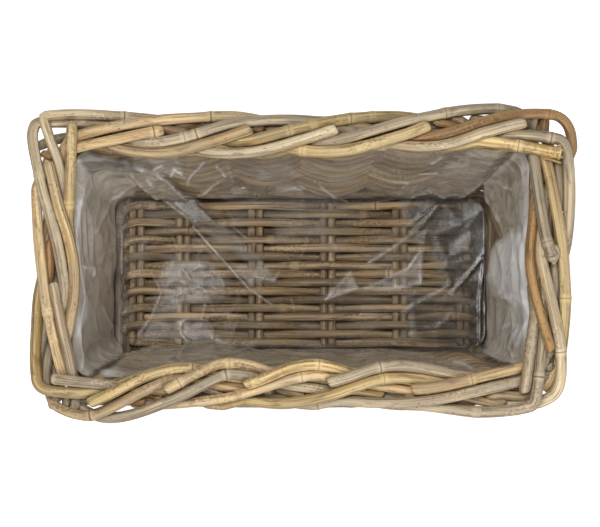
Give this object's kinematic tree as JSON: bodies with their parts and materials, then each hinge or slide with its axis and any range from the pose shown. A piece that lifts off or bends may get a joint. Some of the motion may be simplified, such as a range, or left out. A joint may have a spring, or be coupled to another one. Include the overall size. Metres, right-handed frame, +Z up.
{
  "type": "rattan planter",
  "caption": "Rectangular woven rattan planter with outward-leaning walls, a thick braided border and a clear film liner, standing on its woven floor.",
  "frame": {"origin": "centre of the bounding box's bottom, on the ground under the woven floor", "axes": "+X along the long side, +Y towards the back, +Z up"},
  "size_m": [0.45, 0.26, 0.19],
  "materials": {
    "pale_cane": "matt, weathered cane with fine grain",
    "yellow_cane": "matt, weathered cane with fine grain",
    "tan_cane": "matt, weathered cane with fine grain",
    "grey_cane": "matt, weathered cane with fine grain",
    "brown_cane": "matt, weathered cane with fine grain",
    "wall_cane": "matt, weathered cane with fine grain",
    "floor_cane": "matt, weathered cane with fine grain",
    "film": "thin clear film with soft creases"
  },
  "bodies": {
    "root": {"short_stake_01": "pale_cane", "long_stake_01": "brown_cane", "short_stake_02": "yellow_cane", "long_stake_02": "grey_cane", "short_stake_03": "grey_cane", "long_stake_03": "yellow_cane", "short_stake_04": "brown_cane", "long_stake_04": "pale_cane", "short_stake_05": "grey_cane", "long_stake_05": "grey_cane", "short_stake_06": "tan_cane", "long_stake_06": "grey_cane", "short_stake_07": "grey_cane", "long_stake_07": "yellow_cane", "short_stake_08": "yellow_cane", "long_stake_08": "tan_cane", "short_stake_09": "tan_cane", "long_stake_09": "grey_cane", "short_stake_10": "yellow_cane", "long_stake_10": "tan_cane", "short_stake_11": "grey_cane", "long_stake_11": "yellow_cane", "short_stake_12": "grey_cane", "long_stake_12": "tan_cane", "short_stake_13": "tan_cane", "long_stake_13": "grey_cane", "short_stake_14": "yellow_cane", "long_stake_14": "pale_cane", "short_stake_15": "tan_cane", "long_stake_15": "tan_cane", "short_stake_16": "tan_cane", "long_stake_16": "grey_cane", "short_stake_17": "pale_cane", "long_stake_17": "yellow_cane", "short_stake_18": "yellow_cane", "long_stake_18": "grey_cane", "wall_weaver_a1": "wall_cane", "wall_weaver_a2": "tan_cane", "wall_weaver_a3": "wall_cane", "wall_weaver_a4": "tan_cane", "wall_weaver_b1": "wall_cane", "wall_weaver_b2": "tan_cane", "wall_weaver_b3": "wall_cane", "wall_weaver_b4": "tan_cane", "cross_stick_01": "floor_cane", "cross_stick_02": "floor_cane", "cross_stick_03": "floor_cane", "cross_stick_04": "floor_cane", "cross_stick_05": "floor_cane", "cross_stick_06": "floor_cane", "cross_stick_07": "floor_cane", "cross_stick_08": "floor_cane", "cross_stick_09": "floor_cane", "cross_stick_10": "floor_cane", "cross_stick_11": "floor_cane", "cross_stick_12": "floor_cane", "floor_weaver": "floor_cane", "film_liner": "film"}
  },
  "joints": []
}
